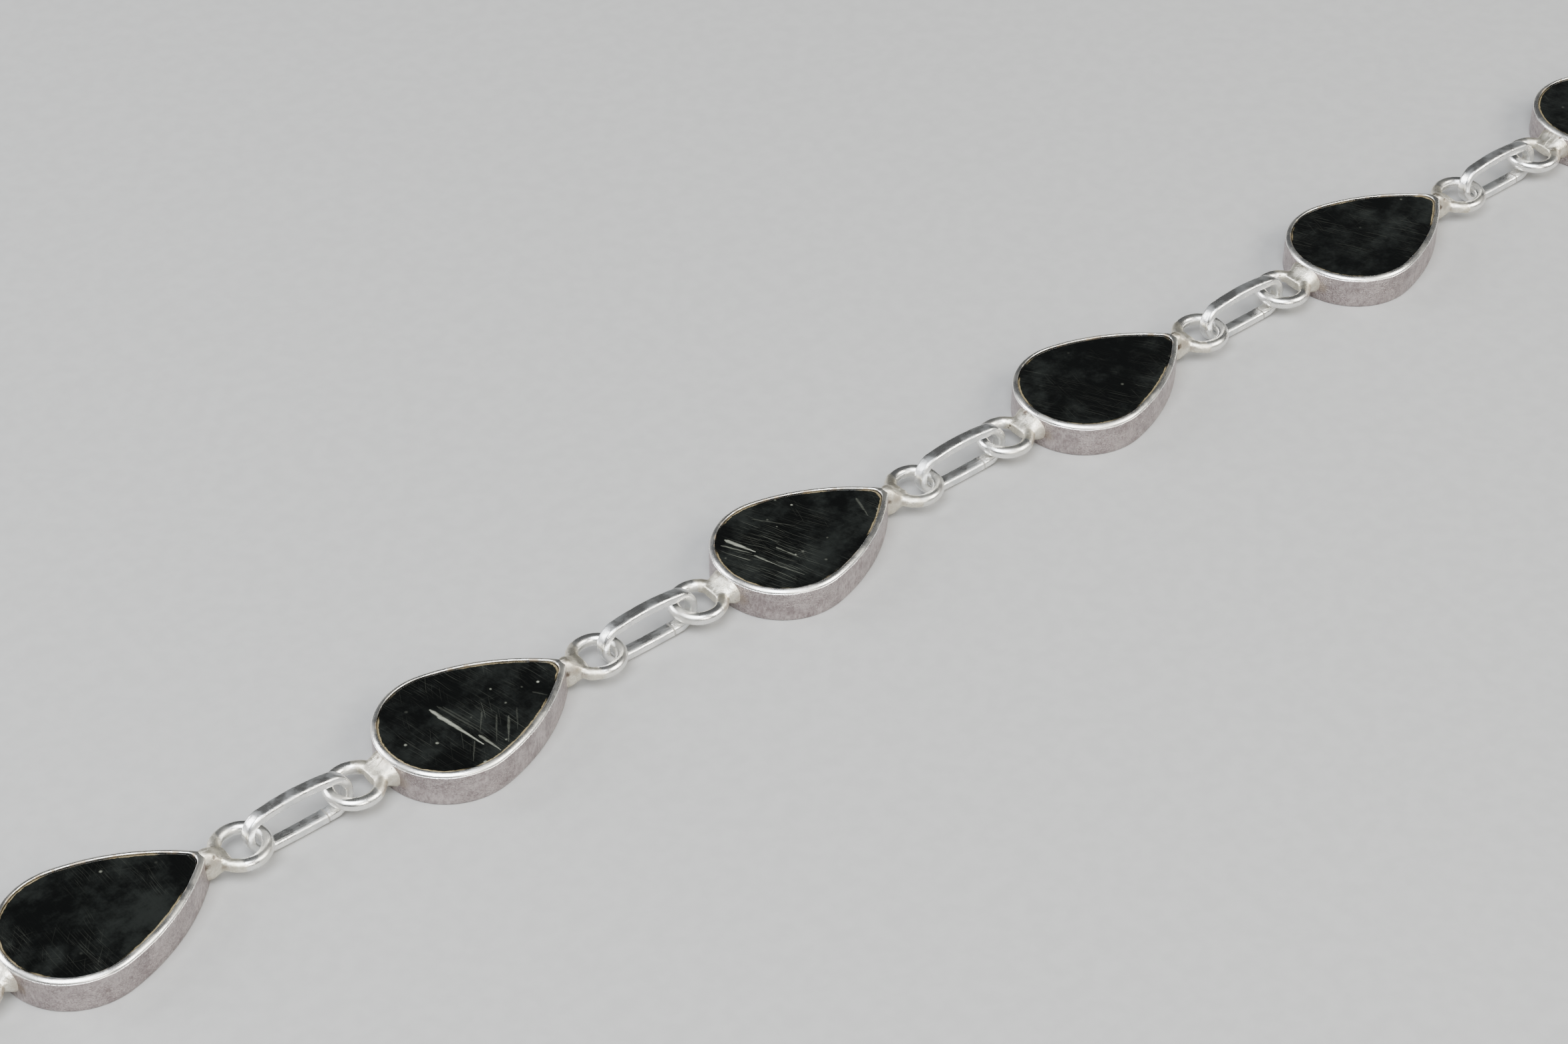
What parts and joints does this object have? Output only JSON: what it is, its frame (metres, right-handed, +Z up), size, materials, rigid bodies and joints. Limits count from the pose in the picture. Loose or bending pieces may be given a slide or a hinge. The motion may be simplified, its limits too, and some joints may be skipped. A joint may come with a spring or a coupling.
{
  "type": "necklace",
  "caption": "Chain necklace of pear-shaped flat black stones in silver bezels, joined tip to round end by oval strap links, lying closed in a loop with one long straight side.",
  "frame": {"origin": "middle of the whole loop's bounding box, on the plane its settings rest on", "axes": "+X along the straight run, the way the stones' tips point there; +Z up; the rest of the loop bulges toward -Y"},
  "size_m": [0.1824, 0.1032, 0.003],
  "materials": {
    "silver": "polished rim, eyes and links, satin bezel walls, creamy matte solder",
    "black_stone": "polished, finely scratched"
  },
  "bodies": {
    "root": {"setting_01": "silver", "stone_01": "black_stone", "setting_02": "silver", "stone_02": "black_stone", "setting_03": "silver", "stone_03": "black_stone", "setting_04": "silver", "stone_04": "black_stone", "setting_05": "silver", "stone_05": "black_stone", "setting_06": "silver", "stone_06": "black_stone", "setting_07": "silver", "stone_07": "black_stone", "setting_08": "silver", "stone_08": "black_stone", "setting_09": "silver", "stone_09": "black_stone", "setting_10": "silver", "stone_10": "black_stone", "setting_11": "silver", "stone_11": "black_stone", "setting_12": "silver", "stone_12": "black_stone", "setting_13": "silver", "stone_13": "black_stone", "setting_14": "silver", "stone_14": "black_stone", "setting_15": "silver", "stone_15": "black_stone", "setting_16": "silver", "stone_16": "black_stone", "setting_17": "silver", "stone_17": "black_stone", "setting_18": "silver", "stone_18": "black_stone", "link_01": "silver", "link_02": "silver", "link_03": "silver", "link_04": "silver", "link_05": "silver", "link_06": "silver", "link_07": "silver", "link_08": "silver", "link_09": "silver", "link_10": "silver", "link_11": "silver", "link_12": "silver", "link_13": "silver", "link_14": "silver", "link_15": "silver", "link_16": "silver", "link_17": "silver", "hook_clasp": "silver"}
  },
  "joints": []
}
